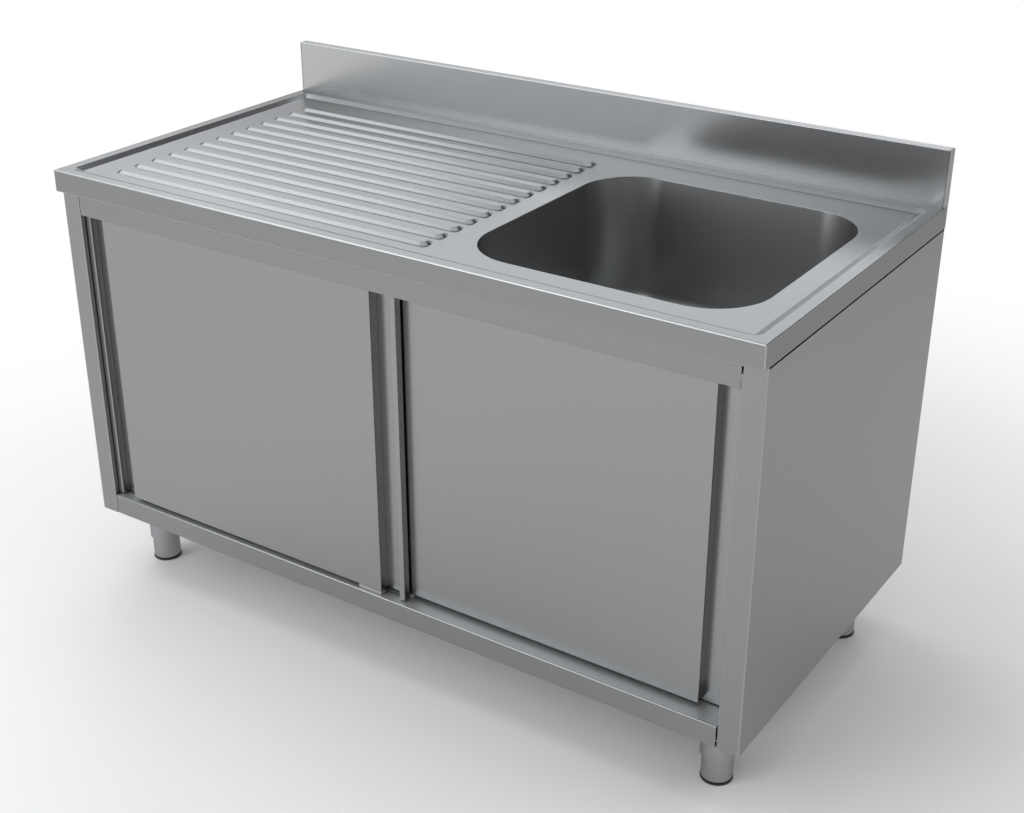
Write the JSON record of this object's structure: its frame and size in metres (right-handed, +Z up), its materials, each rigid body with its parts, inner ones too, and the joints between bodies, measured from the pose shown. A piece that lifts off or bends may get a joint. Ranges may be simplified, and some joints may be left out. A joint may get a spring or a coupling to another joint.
{
  "type": "sink unit",
  "caption": "Stainless steel sink unit: ribbed drainer and deep bowl in a sunken worktop with a low splashback, on a cabinet with sliding doors and adjustable feet.",
  "frame": {"origin": "on the floor, under the middle of the worktop", "axes": "+X to the right along the worktop, -Y out of the front, +Z up"},
  "size_m": [1.4, 0.7, 0.927],
  "materials": {
    "satin_steel": "satin",
    "bowl_steel": "satin",
    "door_steel": "satin",
    "zinc_plate": "zinc plated",
    "brass": "turned",
    "nylon": "moulded",
    "outlet_plastic": "moulded",
    "rubber": "matt",
    "pad_plastic": "moulded",
    "board": "raw chipboard"
  },
  "bodies": {
    "carcass": {"worktop": "satin_steel", "splashback": "satin_steel", "splashback_end_left": "satin_steel", "splashback_end_right": "satin_steel", "sink_bowl": "bowl_steel", "drain_flange": "satin_steel", "drain_strainer": "satin_steel", "drain_gasket": "rubber", "drain_locknut": "brass", "drain_outlet": "outlet_plastic", "backing_board": "board", "worktop_brace": "satin_steel", "side_panel_left": "satin_steel", "side_panel_right": "satin_steel", "foot_rail_left": "satin_steel", "foot_rail_right": "satin_steel", "base_panel": "satin_steel", "back_panel": "satin_steel", "top_rail": "satin_steel", "door_track": "zinc_plate", "left_door_floor_guide": "nylon", "right_door_floor_guide": "nylon", "foot_socket_front_left": "satin_steel", "foot_socket_front_right": "satin_steel", "foot_socket_back_left": "satin_steel", "foot_socket_back_right": "satin_steel"},
    "left_door": {"left_door_panel": "door_steel", "left_door_pan": "door_steel", "left_door_skid": "nylon", "left_door_hanger_outer": "zinc_plate", "left_door_hanger_inner": "zinc_plate", "left_door_axle_outer": "zinc_plate", "left_door_axle_inner": "zinc_plate"},
    "right_door": {"right_door_panel": "door_steel", "right_door_pan": "door_steel", "right_door_skid": "nylon", "right_door_hanger_outer": "zinc_plate", "right_door_hanger_inner": "zinc_plate", "right_door_axle_outer": "zinc_plate", "right_door_axle_inner": "zinc_plate"},
    "left_wheel_outer": {"left_door_wheel_outer": "nylon"},
    "left_wheel_inner": {"left_door_wheel_inner": "nylon"},
    "right_wheel_outer": {"right_door_wheel_outer": "nylon"},
    "right_wheel_inner": {"right_door_wheel_inner": "nylon"},
    "foot_front_left": {"foot_leg_front_left": "satin_steel", "foot_pad_front_left": "pad_plastic"},
    "foot_front_right": {"foot_leg_front_right": "satin_steel", "foot_pad_front_right": "pad_plastic"},
    "foot_back_left": {"foot_leg_back_left": "satin_steel", "foot_pad_back_left": "pad_plastic"},
    "foot_back_right": {"foot_leg_back_right": "satin_steel", "foot_pad_back_right": "pad_plastic"}
  },
  "joints": [
    {"name": "left_door_slide", "type": "slide", "parent": "carcass", "child": "left_door", "axis": [1, 0, 0], "range_m": [0, 0.61]},
    {"name": "right_door_slide", "type": "slide", "parent": "carcass", "child": "right_door", "axis": [-1, 0, 0], "range_m": [0, 0.61]},
    {"name": "left_wheel_outer_spin", "type": "hinge", "parent": "left_door", "child": "left_wheel_outer", "pos_m": [-0.5595, -0.321, 0.7747], "axis": [0, 1, 0], "range_deg": [0, 5000]},
    {"name": "left_wheel_inner_spin", "type": "hinge", "parent": "left_door", "child": "left_wheel_inner", "pos_m": [-0.0535, -0.321, 0.7747], "axis": [0, 1, 0], "range_deg": [0, 5000]},
    {"name": "right_wheel_outer_spin", "type": "hinge", "parent": "right_door", "child": "right_wheel_outer", "pos_m": [0.5595, -0.297, 0.7747], "axis": [0, 1, 0], "range_deg": [-5000, 0]},
    {"name": "right_wheel_inner_spin", "type": "hinge", "parent": "right_door", "child": "right_wheel_inner", "pos_m": [0.0535, -0.297, 0.7747], "axis": [0, 1, 0], "range_deg": [-5000, 0]},
    {"name": "foot_front_left_adjust", "type": "slide", "parent": "carcass", "child": "foot_front_left", "axis": [0, 0, -1], "range_m": [0, 0.03]},
    {"name": "foot_front_right_adjust", "type": "slide", "parent": "carcass", "child": "foot_front_right", "axis": [0, 0, -1], "range_m": [0, 0.03]},
    {"name": "foot_back_left_adjust", "type": "slide", "parent": "carcass", "child": "foot_back_left", "axis": [0, 0, -1], "range_m": [0, 0.03]},
    {"name": "foot_back_right_adjust", "type": "slide", "parent": "carcass", "child": "foot_back_right", "axis": [0, 0, -1], "range_m": [0, 0.03]}
  ],
  "couplings": [
    {"joint": "left_wheel_outer_spin", "follows": "left_door_slide", "rad_per_m": 142.86},
    {"joint": "left_wheel_inner_spin", "follows": "left_door_slide", "rad_per_m": 142.86},
    {"joint": "right_wheel_outer_spin", "follows": "right_door_slide", "rad_per_m": -142.86},
    {"joint": "right_wheel_inner_spin", "follows": "right_door_slide", "rad_per_m": -142.86}
  ]
}
